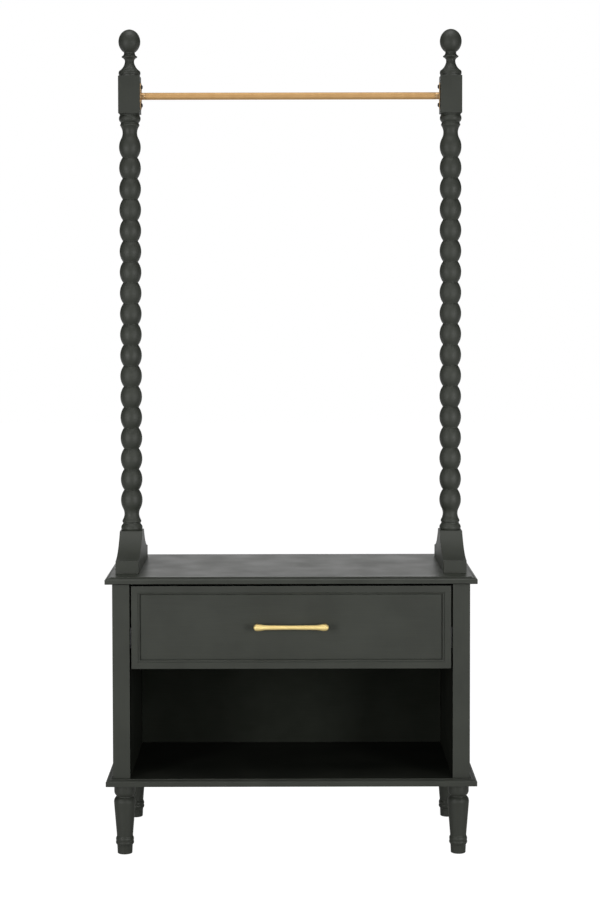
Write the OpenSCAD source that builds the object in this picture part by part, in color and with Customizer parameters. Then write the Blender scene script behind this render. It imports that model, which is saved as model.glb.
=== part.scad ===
// Clothing rack with a drawer: a turned two-post hanging rail on a low case with one drawer,
// an open compartment and four turned legs. Millimetres, +Z up, front face towards -Y.
// The origin is on the floor, under the middle of the whole rack.

/* [Boards] */
// Width of the top and bottom boards
board_w = 813; // [700:1:1000]
// Depth of the top and bottom boards
board_d = 400; // [390:1:520]
// Thickness of the top and bottom boards
board_t = 15; // [14:1:22]
// How far the boards stand out past the case all round
overhang = 15; // [12:0.5:25]
// Width of the moulding along the board edges
mould_w = 11.4; // [6:0.2:12]
// Height that the moulding falls, from the flat of the board to the top of its upright edge
mould_drop = 5; // [3:0.25:6]
// Height of the small step between the flat of the board and its moulding
mould_step = 1.5; // [0.5:0.25:2.5]

/* [Case] */
// Inside height of the case, between the two boards
case_h = 430; // [400:1:600]
// Whole thickness of each hollow side wall
wall_t = 38; // [36:1:50]
// Front to back size of the front stiles
front_stile_d = 25; // [20:1:40]
// Front to back size of the rear stiles
rear_stile_d = 35; // [32:1:45]
// Thickness of the outer side panels
side_panel_t = 12; // [8:1:14]
// Thickness of the inner wall linings
lining_t = 15; // [14:1:18]
// Thickness of the back panel
back_t = 6; // [4:0.5:8]
// Distance from the back panel to the rear face of the case
back_inset = 13; // [8:1:18]
// Thickness of the divider under the drawer
divider_t = 12; // [10:1:18]

/* [Legs] */
// Height of the legs
leg_h = 156; // [120:1:220]
// Largest radius of the tapered part of a leg
leg_r = 23.7; // [21:0.1:26]
// Radius of a leg just above its two rings
ankle_r = 17.7; // [15:0.1:19]
// Distance from the side of the case to the axis of a leg
leg_side_inset = 23.4; // [22:0.1:32]
// Distance from the front of the case to the axis of a front leg
leg_front_inset = 25; // [23:0.5:50]
// Distance from the back of the case to the axis of a rear leg
leg_rear_inset = 36; // [23:0.5:50]

/* [Posts] */
// Number of beads turned on each post
bead_count = 18; // [10:1:20]
// Distance from one bead to the next
bead_pitch = 47; // [40:0.5:52]
// Radius of a post at the middle of a bead
bead_r = 24.5; // [22:0.1:25]
// Radius of the curve of a bead along the post
bead_curve_r = 40; // [34:1:60]
// Width of the square block that carries the rail
block_w = 48.5; // [46:0.5:60]
// Height of the square block that carries the rail
block_h = 84.5; // [75:0.5:110]
// Distance from the side edge of the board to the axis of a post
post_inset = 44.5; // [40:0.5:70]
// Width of the base under each post
base_w = 51; // [49:0.5:60]
// Height of the base under each post
base_h = 81; // [65:1:110]
// Front to back length of the base under each post
base_len = 282; // [240:1:320]
// Height of the upright ends of the base
plinth_h = 29; // [24:1:40]
// How deeply the sloping top of the base is hollowed
base_hollow = 12; // [4:1:16]
// Radius of the ball on top of each post
ball_r = 24.6; // [20:0.1:30]
// Height of the ball above its widest place
ball_rise = 27.6; // [20:0.1:32]

/* [Rail] */
// Diameter of the hanging rail
rail_d = 16; // [14:0.5:25]
// Wall thickness of the rail
rail_wall = 1.2; // [0.8:0.1:2]
// Height of the rail above the lower edge of the square blocks
rail_up = 40; // [36:0.5:50]
// Height of the rail's end plates
plate_h = 60; // [56:1:70]
// Width of the rail's end plates
plate_w = 20; // [18:1:30]
// Thickness of the rail's end plates
plate_t = 2; // [1.5:0.25:3]
// Length of the collar between an end plate and the rail
collar_l = 8; // [4:0.5:15]

/* [Drawer front] */
// Height of the drawer front
front_h = 183; // [170:1:220]
// Thickness of the drawer front
front_t = 20; // [18:0.5:24]
// Gap between the drawer front and each stile
side_gap = 3.2; // [1:0.1:4]
// Gap between the drawer front and the top board
top_gap = 5; // [2:0.5:8]
// Width of the flat border round the drawer front
border_w = 14; // [10:0.5:30]
// Width of the moulding inside the border
frame_w = 6; // [4:0.5:10]
// How far the middle of the drawer front lies behind its border
recess = 6; // [4:0.5:8]

/* [Drawer box] */
// Height of the drawer box
box_h = 120; // [110:1:126]
// Thickness of the drawer box sides, front and back
box_t = 12; // [12:0.5:15]
// Thickness of the drawer bottom
bottom_t = 5; // [3:0.5:6]
// Height of the drawer bottom above the lower edge of the box
bottom_up = 6; // [4:0.5:10]
// Clearance between the divider and the drawer box
box_up = 8; // [4:0.5:12]

/* [Handle] */
// Length of the handle
handle_l = 164; // [120:1:220]
// Radius of the handle at its middle
handle_r = 4.6; // [4:0.1:6]
// Radius of the swollen ends of the handle
handle_end_r = 7.35; // [6.5:0.05:9]
// Distance between the two handle screws
handle_cc = 148; // [96:1:150]
// Distance from the drawer panel to the axis of the handle
handle_out = 21; // [18:0.5:30]
// Height of the handle above the middle of the drawer front
handle_up = 2; // [-15:0.5:15]

/* [Slides] */
// Length of the drawer slides
slide_l = 300; // [250:1:310]
// Height of the drawer slides
slide_h = 45.5; // [45:0.5:50]
// Space between the case and the drawer box for a slide
slide_w = 12.7; // [12.5:0.1:14]
// Thickness of the sheet steel of the slides
sheet_t = 1.2; // [1:0.05:1.3]
// Height of a slide's middle above the lower edge of the drawer box
slide_up = 44; // [30:1:60]
// Length of a ball cage
cage_l = 120; // [80:1:130]

/* [Hidden] */
$fn = 48;

// Colours
paint = "#42443f";
bare_wood = "#c9a878";
steel = "#b4b6b8";
brass = "#d9b878";
black_steel = "#1c1a18";

// Sides of the rack: left is -X, right is +X
left = -1;
right = 1;

// Clearances: a fastener in its hole, a bolt in a thread, a bolt through a board and a panel
// in its groove. Cuts reach past a face by the last one.
fit = 0.1;
thread_fit = 0.05;
bolt_play = 0.5;
groove_fit = 0.2;
past = 1;

// Front to back places. The handle reaches past the front edge of the boards.
handle_reach = max(0, handle_out + handle_end_r - recess - overhang);
board_y0 = (handle_reach - board_d) / 2;
board_y1 = board_y0 + board_d;
board_yc = (board_y0 + board_y1) / 2;
case_y0 = board_y0 + overhang;
case_y1 = board_y1 - overhang;
lining_y0 = case_y0 + front_stile_d;
lining_y1 = case_y1 - rear_stile_d;
back_y1 = case_y1 - back_inset;
back_y0 = back_y1 - back_t;

// Heights
floor_z = leg_h + board_t;
ceiling_z = floor_z + case_h;
top_z = ceiling_z + board_t;
base_z = top_z + base_h;
low_bead_up = 68.4;
low_bead_z = base_z + low_bead_up;
high_bead_z = low_bead_z + (bead_count - 1) * bead_pitch;
neck_h = 74.3;
block_z0 = high_bead_z + neck_h;
block_z1 = block_z0 + block_h;

// Side to side places
out_x = board_w / 2 - overhang;
in_x = out_x - wall_t;
post_x = board_w / 2 - post_inset;
leg_x = out_x - leg_side_inset;

// Grooves for the back panel
groove_depth = 5;

// Drawer front and divider
front_z1 = ceiling_z - top_gap;
front_z0 = front_z1 - front_h;
front_y1 = case_y0 + front_t;
front_x = in_x - side_gap;
front_zc = (front_z0 + front_z1) / 2;
handle_zc = front_zc + handle_up;
panel_y = case_y0 + recess;
divider_lift = 1;
divider_z0 = front_z0 + divider_lift;
divider_z1 = divider_z0 + divider_t;
divider_gap = 1.5;
divider_y0 = front_y1 + divider_gap;

// Drawer box, held between the slides
box_x = in_x - slide_w;
box_z0 = divider_z1 + box_up;
slide_end_gap = 1;
slide_y0 = front_y1 + slide_end_gap;
slide_y1 = slide_y0 + slide_l;
box_y0 = front_y1;
box_y1 = slide_y1 + slide_end_gap;
slide_zc = box_z0 + slide_up;
bottom_z0 = box_z0 + bottom_up;
box_groove = box_t / 2;

// Across the slide, measured from the case wall: webs and lips of its three members
case_lip_u = 9.5;
middle_web_u = 3.4;
middle_lip_u = 11;
drawer_web_u = slide_w - sheet_t;
drawer_lip_u = 6.6;

// Half heights of the three members, and the balls that run between them
ball_gap = 0.18;
ball_d = 3.2;
case_half_h = slide_h / 2;
outer_track = case_half_h - sheet_t - ball_d / 2 - ball_gap;
middle_half_h = outer_track - ball_d / 2 - ball_gap;
inner_track = middle_half_h - sheet_t - ball_d / 2 - ball_gap;
drawer_half_h = inner_track - ball_d / 2 - ball_gap;
cage_t = 0.6;
cage_gap = 0.5;
ball_in = 1.9;
ball_pitch = 12;
cage_y0 = slide_y0 + (slide_l - cage_l) / 2;

// Screws that hold the slides, set back from each end and at the middle
slide_screw_inset = 35;
slide_screw_ys = [slide_y0 + slide_screw_inset, (slide_y0 + slide_y1) / 2, slide_y1 - slide_screw_inset];
slide_screw_r = 1.75;
slide_screw_head_r = 3.4;
slide_screw_cone = 1.6;
case_screw_l = 13;
drawer_screw_l = 9;

// Dowels: thick ones in the carcass, thin ones in the divider and the drawer box
dowel_r = 4;
dowel_l = 30;
dowel_in_board = 10;
dowel_edge = 10;
thin_dowel_r = 3;
divider_dowel_in_wall = 10;
divider_dowel_inset = 45;
drawer_dowel_in_side = 8;
drawer_dowel_edge = 30;

// Connectors between the linings and the boards
cam_r = 7.5;
cam_depth = 12.5;
cam_down = 24;
cam_inset = 20;
cam_bolt_r = 2.5;
cam_bolt_head_r = 3.4;
cam_bolt_head_l = 4;
cam_bolt_in_board = 10;
joint_screw_r = 2.5;
joint_screw_l = 50;
joint_screw_head_r = 5;
joint_screw_head_h = 3;
joint_screw_inset = 60;

// Leg fixings
hanger_r = 4;
hanger_in_leg = 35;
hanger_in_board = 12;
leg_insert_r = 6;

// Post, base and finial fixings
post_bolt_r = 4;
post_bolt_in = 24;
post_bolt_head_r = 6.5;
post_bolt_head_h = 5;
post_insert_r = 6;
post_insert_l = 25;
base_bolt_r = 3;
base_bolt_in = 16;
base_bolt_head_r = 5;
base_bolt_head_h = 4;
base_insert_r = 4.5;
base_insert_l = 17;
base_bolt_inset = 50;
head_sink = 1;
socket_per_bolt = 0.7;
stud_r = 4;
stud_in = 18;

// Rail end plates
flange_screw_cc = 41;
flange_screw_r = 2.2;
flange_screw_in = 22;
flange_head_r = 4.8;
flange_head_h = 3.2;
spigot_l = 16;
spigot_gap = 0.1;
rail_z = block_z0 + rail_up;

// Handle and drawer front fixings
handle_post_r = 4.8;
handle_foot_r = 6;
handle_foot_t = 3;
handle_screw_r = 2;
handle_screw_in = 12;
pan_head_r = 4;
pan_head_h = 2.4;
front_screw_x = 250;
front_screw_edge = 25;
front_screw_in = 9;

// Steps along a short curve, along one bead and round the ball
arc_steps = 6;
bead_steps = 10;
ball_steps = 16;

// Points from a to b along an arc that bulges by bow to the right of the way, without a itself
function arc_to(a, b, bow) =
    let (chord = b - a, half = norm(chord) / 2, along = chord / norm(chord))
    let (out = [along[1], -along[0]], size = abs(bow), turn = sign(bow))
    size == 0 ? [b] :
    let (r = (half * half + size * size) / (2 * size), open = asin(half / r))
    [for (i = [1 : arc_steps]) let (angle = open * (2 * i / arc_steps - 1))
        (a + b) / 2 + r * sin(angle) * along + turn * r * (cos(angle) - cos(open)) * out];

// Outline through stations [radius, height, bow of the stretch that leads here], lifted by z
function turned(stations, z = 0) = [
    each [[stations[0][0], stations[0][1] + z]],
    for (i = [1 : len(stations) - 1]) each arc_to(
        [stations[i - 1][0], stations[i - 1][1] + z],
        [stations[i][0], stations[i][1] + z],
        stations[i][2])
];

// Radius of a post at a height from the middle of a bead
function bead_at(dz) = bead_r - bead_curve_r + sqrt(bead_curve_r * bead_curve_r - dz * dz);

// Outline of one bead between two heights from its middle, without its first point
function bead_points(z, from, to) = [
    for (i = [1 : bead_steps]) let (dz = from + (to - from) * i / bead_steps) [bead_at(dz), z + dz]
];

// The lowest and highest beads run into hollows this far from their middles
low_tail = 18;
high_tail = 20;

// Turning below the beads, above the base
post_foot = [
    [22.5, 0],
    [20.8, 13.5, 2.6],
    [20, 15, 0],
    [20, 18, 0],
    [21.2, 18.5, 0],
    [20.9, 23, 0.4],
    [bead_at(low_tail), low_bead_up - low_tail, -3.8]
];

// Turning above the beads, from the middle of the highest one up to the square block
post_neck = [
    [bead_at(high_tail), high_tail],
    [20.6, 46.5, -3.4],
    [20.6, 52.5, 1.2],
    [20.3, 54, 0],
    [20.3, 55.5, 0],
    [21.2, 56, 0],
    [22.4, 71, 2.7],
    [22.4, neck_h, 0]
];

// Turning of the finial below its ball
finial_neck_r = 12.3;
finial_stem = [
    [23.6, 0],
    [23.6, 3.5, 0],
    [24.4, 4.5, 0],
    [24.4, 9, 0.2],
    [22, 13, 0.7],
    [10.4, 32, -2.3],
    [10.4, 35, 0],
    [16.8, 42, -1.2],
    [17.5, 43.3, 0.1],
    [17.5, 44.7, 0],
    [finial_neck_r, 51, -1],
    [finial_neck_r, 53.8, 0]
];

// Turning of a leg, from the floor up to the bottom board
leg_turning = [
    [15.2, 0],
    [16.3, 1.6, 0.4],
    [17.1, 18.5, 0],
    [18.2, 20, 0],
    [19, 28, 1.4],
    [18.2, 37.4, 1.2],
    [ankle_r, 39, 0],
    [leg_r, leg_h - 43, 0],
    [18.3, leg_h - 29.5, 1.9],
    [18.3, leg_h - 27.5, 0],
    [23.1, leg_h - 18.5, 1],
    [23.1, leg_h, 0]
];

// Turning of half the handle, from its middle out to its rounded end
handle_turning = [
    [handle_r, 0],
    [handle_r + 0.6, handle_l / 2 - 26, 0],
    [handle_end_r, handle_l / 2 - 10, -0.4],
    [0, handle_l / 2, 2.4]
];

// Copies

module on(side) {
    mirror([side == left ? 1 : 0, 0, 0]) children();
}

module both() {
    for (side = [left, right]) on(side) children();
}

// Block between two corners
module block(low, high) {
    translate(low) cube(high - low);
}

// Rod along +Z from a point
module rod(at, r, l) {
    translate(at) cylinder(r = r, h = l);
}

// Rod along +X from a point
module rod_x(at, r, l) {
    translate(at) rotate([0, 90, 0]) cylinder(r = r, h = l);
}

// Rod along +Y from a point
module rod_y(at, r, l) {
    translate(at) rotate([-90, 0, 0]) cylinder(r = r, h = l);
}

module tube(at, r, bore_r, l) {
    difference() {
        rod(at, r, l);
        rod(at - [0, 0, past], bore_r, l + 2 * past);
    }
}

// Places of fixings on the right-hand side

dowel_ys = [case_y0 + front_stile_d / 2, lining_y1 + rear_stile_d / 2];
cam_ys = [lining_y0 + cam_inset, lining_y1 - cam_inset];
joint_screw_ys = [lining_y0 + joint_screw_inset, lining_y1 - joint_screw_inset];
base_bolt_ys = [board_yc - base_len / 2 + base_bolt_inset, board_yc + base_len / 2 - base_bolt_inset];
leg_ys = [case_y0 + leg_front_inset, case_y1 - leg_rear_inset];
divider_dowel_ys = [divider_y0 + divider_dowel_inset, back_y0 - divider_dowel_inset];
lining_x = in_x + lining_t / 2;
dowel_x = out_x - dowel_edge;
divider_zc = (divider_z0 + divider_z1) / 2;
cam_z = ceiling_z - cam_down;
block_face_x = post_x - block_w / 2;
flange_screw_zs = [rail_z - flange_screw_cc / 2, rail_z + flange_screw_cc / 2];
drawer_dowel_zs = [box_z0 + drawer_dowel_edge, box_z0 + box_h - drawer_dowel_edge];
drawer_dowel_ys = [box_y0 + box_t / 2, box_y1 - box_t / 2];
front_screw_zs = [box_z0 + front_screw_edge, box_z0 + box_h - front_screw_edge];

// Boards

// Outline across a board of the given half size, moulded at both ends
function board_outline(half) =
    let (bow = 1.2)
    let (edge = concat(
        [[half, 0], [half, board_t - mould_drop]],
        arc_to([half, board_t - mould_drop], [half - mould_w, board_t - mould_step], bow),
        [[half - mould_w, board_t]]))
    concat(edge, [for (i = [len(edge) - 1 : -1 : 0]) [-edge[i][0], edge[i][1]]]);

module moulded_board(z) {
    translate([0, board_yc, z]) intersection() {
        rotate([90, 0, 0]) linear_extrude(board_d, center = true) polygon(board_outline(board_w / 2));
        rotate([90, 0, 90]) linear_extrude(board_w, center = true) polygon(board_outline(board_d / 2));
    }
}

// Space of the back panel with its clearance, between two heights
module back_groove(z0, z1) {
    x = in_x + groove_depth;
    block([-x, back_y0 - groove_fit, z0], [x, back_y1 + groove_fit, z1]);
}

// Hole for a bolt up through the top board, with a recess for its head in the underside
module sunk_bolt_hole(x, y, r, head_r, head_h) {
    rod([x, y, ceiling_z - past], r + bolt_play, board_t + 2 * past);
    rod([x, y, ceiling_z - past], head_r + bolt_play, head_h + head_sink + past);
}

module top_board() {
    color(paint) difference() {
        moulded_board(ceiling_z);
        back_groove(ceiling_z - past, ceiling_z + groove_depth + groove_fit);
        both() {
            sunk_bolt_hole(post_x, board_yc, post_bolt_r, post_bolt_head_r, post_bolt_head_h);
            for (y = base_bolt_ys)
                sunk_bolt_hole(post_x, y, base_bolt_r, base_bolt_head_r, base_bolt_head_h);
            for (y = dowel_ys)
                rod([dowel_x, y, ceiling_z - past], dowel_r + fit, dowel_in_board + fit + past);
            for (y = cam_ys)
                rod([lining_x, y, ceiling_z - past], cam_bolt_r + fit, cam_bolt_in_board + fit + past);
        }
    }
}

module bottom_board() {
    color(paint) difference() {
        moulded_board(leg_h);
        back_groove(floor_z - groove_depth - groove_fit, floor_z + past);
        both() {
            for (y = leg_ys)
                rod([leg_x, y, leg_h - past], leg_insert_r + fit, hanger_in_board + fit + past);
            for (y = dowel_ys)
                rod([dowel_x, y, floor_z - dowel_in_board - fit], dowel_r + fit, dowel_in_board + past);
            for (y = joint_screw_ys) joint_screw(y, fit);
        }
    }
}

// Case walls

module front_stile(side) {
    color(paint) on(side) difference() {
        block([in_x, case_y0, floor_z], [out_x, lining_y0, ceiling_z]);
        stile_dowel_holes(dowel_ys[0]);
    }
}

module rear_stile(side) {
    color(paint) on(side) difference() {
        block([in_x, lining_y1, floor_z], [out_x, case_y1, ceiling_z]);
        back_groove(floor_z - past, ceiling_z + past);
        stile_dowel_holes(dowel_ys[1]);
    }
}

module stile_dowel_holes(y) {
    depth = dowel_l - dowel_in_board + fit;
    rod([dowel_x, y, floor_z - past], dowel_r + fit, depth + past);
    rod([dowel_x, y, ceiling_z - depth], dowel_r + fit, depth + past);
}

module side_panel(side) {
    color(paint) on(side)
        block([out_x - side_panel_t, lining_y0, floor_z], [out_x, lining_y1, ceiling_z]);
}

module lining(side) {
    color(paint) on(side) difference() {
        block([in_x, lining_y0, floor_z], [in_x + lining_t, lining_y1, ceiling_z]);
        for (y = cam_ys) {
            rod_x([in_x - past, y, cam_z], cam_r + fit, cam_depth + fit + past);
            rod([lining_x, y, cam_z], cam_bolt_head_r + fit, cam_down + past);
        }
        for (y = joint_screw_ys) joint_screw(y, fit);
        for (y = divider_dowel_ys)
            rod_x([in_x - past, y, divider_zc], thin_dowel_r + fit, divider_dowel_in_wall + fit + past);
        for (y = slide_screw_ys) case_screw(y, fit);
    }
}

module back_panel() {
    x = in_x + groove_depth - groove_fit;
    sunk = groove_depth - groove_fit;
    color(paint) block([-x, back_y0, floor_z - sunk], [x, back_y1, ceiling_z + sunk]);
}

module divider_shelf() {
    color(paint) difference() {
        block([-in_x, divider_y0, divider_z0], [in_x, back_y0, divider_z1]);
        both() for (y = divider_dowel_ys) {
            hole_l = dowel_l - divider_dowel_in_wall + fit;
            rod_x([in_x - hole_l, y, divider_zc], thin_dowel_r + fit, hole_l + past);
        }
    }
}

// Case fixings

module carcass_dowels() {
    zs = [floor_z - dowel_in_board, ceiling_z + dowel_in_board - dowel_l];
    color(bare_wood) both() for (y = dowel_ys, z = zs) rod([dowel_x, y, z], dowel_r, dowel_l);
}

module cam_bolts() {
    color(steel) both() for (y = cam_ys) {
        rod([lining_x, y, cam_z - cam_bolt_head_l / 2], cam_bolt_head_r, cam_bolt_head_l);
        rod([lining_x, y, cam_z], cam_bolt_r, cam_down + cam_bolt_in_board);
    }
}

// Cams turned by a cross in the face and open upwards for the bolt
module cam_nuts() {
    under_head = cam_bolt_head_l / 2 + fit;
    color(steel) both() for (y = cam_ys) difference() {
        rod_x([in_x, y, cam_z], cam_r, cam_depth);
        rod([lining_x, y, cam_z - under_head], cam_bolt_head_r + fit, cam_r + under_head + past);
        cross_cut([in_x, y, cam_z], 8, 1.2, 1.5);
    }
}

// Cross for a screwdriver in a face that looks along X
module cross_cut(at, l, w, depth) {
    for (turn = [0, 90]) translate(at) rotate([turn, 0, 0]) cube([2 * depth, l, w], center = true);
}

// Countersunk screw up through the bottom board into a lining, made larger by extra for its hole
module joint_screw(y, extra = 0) {
    at = [lining_x, y, leg_h];
    rod(at, joint_screw_r + extra, joint_screw_l + extra);
    translate(at)
        cylinder(r1 = joint_screw_head_r + extra, r2 = joint_screw_r + extra, h = joint_screw_head_h);
}

module bottom_screws() {
    color(steel) both() for (y = joint_screw_ys) joint_screw(y);
}

module divider_dowels() {
    color(bare_wood) both() for (y = divider_dowel_ys)
        rod_x([in_x + divider_dowel_in_wall - dowel_l, y, divider_zc], thin_dowel_r, dowel_l);
}

// Legs

module leg(side, y) {
    color(paint) on(side) translate([leg_x, y, 0]) difference() {
        rotate_extrude() polygon(concat([[0, 0]], turned(leg_turning), [[0, leg_h]]));
        rod([0, 0, leg_h - hanger_in_leg - fit], hanger_r + fit, hanger_in_leg + past);
    }
}

module leg_bolts() {
    color(steel) both() for (y = leg_ys)
        rod([leg_x, y, leg_h - hanger_in_leg], hanger_r, hanger_in_leg + hanger_in_board - fit);
}

module leg_inserts() {
    color(steel) both() for (y = leg_ys)
        tube([leg_x, y, leg_h], leg_insert_r, hanger_r + thread_fit, hanger_in_board);
}

// Post bases

module post_base(side) {
    half = base_len / 2;
    top = base_w / 2;
    slope = arc_to([half, plinth_h], [top, base_h], -base_hollow);
    outline = concat(
        [[-half, 0], [half, 0], [half, plinth_h]],
        slope,
        [for (i = [len(slope) - 1 : -1 : 0]) [-slope[i][0], slope[i][1]]],
        [[-half, plinth_h]]);
    color(paint) on(side) difference() {
        translate([post_x, board_yc, top_z]) rotate([90, 0, 90])
            linear_extrude(base_w, center = true) polygon(outline);
        rod([post_x, board_yc, top_z - past], post_bolt_r + bolt_play, base_h + 2 * past);
        for (y = base_bolt_ys) rod([post_x, y, top_z - past], base_insert_r + fit, base_insert_l + past);
    }
}

// Turned posts

module post(side) {
    beads = [for (k = [0 : bead_count - 1]) each bead_points(
        low_bead_z + k * bead_pitch,
        k == 0 ? -low_tail : -bead_pitch / 2,
        k == bead_count - 1 ? high_tail : bead_pitch / 2)];
    neck = turned(post_neck, high_bead_z);
    outline = concat(
        [[0, base_z]],
        turned(post_foot, base_z),
        beads,
        [for (i = [1 : len(neck) - 1]) neck[i]],
        [[0, block_z0]]);
    color(paint) on(side) difference() {
        union() {
            translate([post_x, board_yc, 0]) rotate_extrude() polygon(outline);
            block(
                [post_x - block_w / 2, board_yc - block_w / 2, block_z0],
                [post_x + block_w / 2, board_yc + block_w / 2, block_z1]);
        }
        rod([post_x, board_yc, base_z - past], post_insert_r + fit, post_insert_l + past);
        rod([post_x, board_yc, block_z1 - stud_in - fit], stud_r + fit, stud_in + fit + past);
        for (z = flange_screw_zs)
            rod_x([block_face_x - past, board_yc, z], flange_screw_r + fit, flange_screw_in + fit + past);
    }
}

module finial(side) {
    low_angle = -acos(finial_neck_r / ball_r);
    stem_top = finial_stem[len(finial_stem) - 1][1];
    ball_z = stem_top - ball_rise * sin(low_angle);
    ball = [for (i = [1 : ball_steps]) let (angle = low_angle + (90 - low_angle) * i / ball_steps)
        [max(0, ball_r * cos(angle)), ball_z + ball_rise * sin(angle)]];
    color(paint) on(side) translate([post_x, board_yc, block_z1]) difference() {
        rotate_extrude() polygon(concat([[0, 0]], turned(finial_stem), ball));
        rod([0, 0, -past], stud_r + fit, stud_in + fit + past);
    }
}

module finial_studs() {
    color(steel) both() rod([post_x, board_yc, block_z1 - stud_in], stud_r, 2 * stud_in);
}

// Bolt up through the top board, with a hexagon socket in its head
module sunk_bolt(x, y, r, head_r, head_h, reach) {
    socket_depth = head_h / 2;
    z = ceiling_z + head_sink + head_h;
    difference() {
        union() {
            rod([x, y, z], r, reach - z);
            rod([x, y, z - head_h], head_r, head_h);
        }
        translate([x, y, z - head_h - past])
            cylinder(r = r * socket_per_bolt, h = socket_depth + past, $fn = 6);
    }
}

module post_bolts() {
    color(steel) both()
        sunk_bolt(post_x, board_yc, post_bolt_r, post_bolt_head_r, post_bolt_head_h, base_z + post_bolt_in);
}

module post_inserts() {
    color(steel) both()
        tube([post_x, board_yc, base_z], post_insert_r, post_bolt_r + thread_fit, post_insert_l);
}

module base_bolts() {
    color(steel) both() for (y = base_bolt_ys)
        sunk_bolt(post_x, y, base_bolt_r, base_bolt_head_r, base_bolt_head_h, top_z + base_bolt_in);
}

module base_inserts() {
    color(steel) both() for (y = base_bolt_ys)
        tube([post_x, y, top_z], base_insert_r, base_bolt_r + thread_fit, base_insert_l);
}

// Rail

module hanging_rail() {
    half = block_face_x - plate_t - collar_l;
    color(brass) difference() {
        rod_x([-half, board_yc, rail_z], rail_d / 2, 2 * half);
        rod_x([-half - past, board_yc, rail_z], rail_d / 2 - rail_wall, 2 * (half + past));
    }
}

module rail_flange(side) {
    straight = (plate_h - plate_w) / 2;
    plate_x = block_face_x - plate_t;
    collar_x = plate_x - collar_l;
    spigot_r = rail_d / 2 - rail_wall - spigot_gap;
    color(brass) on(side) difference() {
        union() {
            for (z = [-straight, straight])
                rod_x([plate_x, board_yc, rail_z + z], plate_w / 2, plate_t);
            block(
                [plate_x, board_yc - plate_w / 2, rail_z - straight],
                [block_face_x, board_yc + plate_w / 2, rail_z + straight]);
            rod_x([collar_x, board_yc, rail_z], rail_d / 2, collar_l);
            rod_x([collar_x - spigot_l, board_yc, rail_z], spigot_r, spigot_l + past);
        }
        for (z = flange_screw_zs)
            rod_x([plate_x - past, board_yc, z], flange_screw_r + fit, plate_t + 2 * past);
    }
}

module flange_screws() {
    head_x = block_face_x - plate_t - flange_head_h;
    color(black_steel) both() for (z = flange_screw_zs) difference() {
        union() {
            rod_x([head_x, board_yc, z], flange_head_r, flange_head_h);
            rod_x([head_x, board_yc, z], flange_screw_r, flange_head_h + plate_t + flange_screw_in);
        }
        cross_cut([head_x, board_yc, z], 5.5, 1.1, 1.6);
    }
}

// Drawer slides. Places across a slide are measured from the case wall, as u.

// Sheet steel channel along a slide, with its web at web_u and its lips reaching lip_u
module channel(web_u, lip_u, half_h, sheet, y0, l) {
    inward = sign(lip_u - web_u);
    far_web = inward > 0 ? web_u : web_u + sheet;
    hollow_u = far_web + inward * sheet;
    difference() {
        slab(far_web, lip_u, half_h, y0, l);
        slab(hollow_u, lip_u + inward * past, half_h - sheet, y0 - past, l + 2 * past);
    }
}

module slab(u_a, u_b, half_h, y0, l) {
    u0 = min(u_a, u_b);
    u1 = max(u_a, u_b);
    block([in_x - u1, y0, slide_zc - half_h], [in_x - u0, y0 + l, slide_zc + half_h]);
}

// Slide screw with a flat head, along +X from its head, made larger by extra for its hole
module slide_screw(at, l, extra) {
    rod_x(at, slide_screw_r + extra, l + extra);
    translate(at) rotate([0, 90, 0])
        cylinder(r1 = slide_screw_head_r + extra, r2 = slide_screw_r + extra, h = slide_screw_cone);
}

module case_screw(y, extra = 0) {
    slide_screw([in_x - sheet_t, y, slide_zc], case_screw_l, extra);
}

module drawer_screw(y, extra = 0) {
    translate([in_x - drawer_web_u, y, slide_zc]) mirror([1, 0, 0])
        slide_screw([0, 0, 0], drawer_screw_l, extra);
}

module slide_case_member(side) {
    color(steel) on(side) difference() {
        channel(0, case_lip_u, case_half_h, sheet_t, slide_y0, slide_l);
        for (y = slide_screw_ys) case_screw(y, fit);
    }
}

module slide_middle(side) {
    color(steel) on(side) channel(middle_web_u, middle_lip_u, middle_half_h, sheet_t, slide_y0, slide_l);
}

module slide_drawer_member(side) {
    color(steel) on(side) difference() {
        channel(drawer_web_u, drawer_lip_u, drawer_half_h, sheet_t, slide_y0, slide_l);
        for (y = slide_screw_ys) drawer_screw(y, fit);
    }
}

// Bent cage with a row of balls held in each lip
module ball_cage(web_u, lip_u, ball_u, track) {
    balls = floor(cage_l / ball_pitch);
    first = cage_y0 + (cage_l - (balls - 1) * ball_pitch) / 2;
    color(steel) {
        channel(web_u, lip_u, track + cage_t / 2, cage_t, cage_y0, cage_l);
        for (i = [0 : balls - 1], level = [-track, track])
            translate([in_x - ball_u, first + i * ball_pitch, slide_zc + level]) sphere(d = ball_d);
    }
}

module outer_ball_cage(side) {
    web_u = (sheet_t + middle_web_u - cage_t) / 2;
    lip_u = case_lip_u - cage_gap;
    on(side) ball_cage(web_u, lip_u, lip_u - ball_in, outer_track);
}

module inner_ball_cage(side) {
    web_u = (middle_web_u + sheet_t + drawer_lip_u - cage_t) / 2;
    lip_u = drawer_web_u - 2 * cage_gap;
    on(side) ball_cage(web_u, lip_u, lip_u - ball_in, inner_track);
}

module slide_case_screws() {
    color(steel) both() for (y = slide_screw_ys) case_screw(y);
}

module slide_drawer_screws() {
    color(steel) both() for (y = slide_screw_ys) drawer_screw(y);
}

// Drawer front

// Outline across the hollow of the drawer front: [place, depth behind the border]. Its moulding
// has a small step at the border, a curved slope and a deeper step down to the panel.
function hollow_outline(half) =
    let (border_step = 1, panel_step = 1.5, bow = 0.9)
    let (edge = concat(
        [[half, -past], [half, border_step]],
        arc_to([half, border_step], [half - frame_w, recess - panel_step], -bow),
        [[half - frame_w, recess]]))
    concat(edge, [for (i = [len(edge) - 1 : -1 : 0]) [-edge[i][0], edge[i][1]]]);

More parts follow.
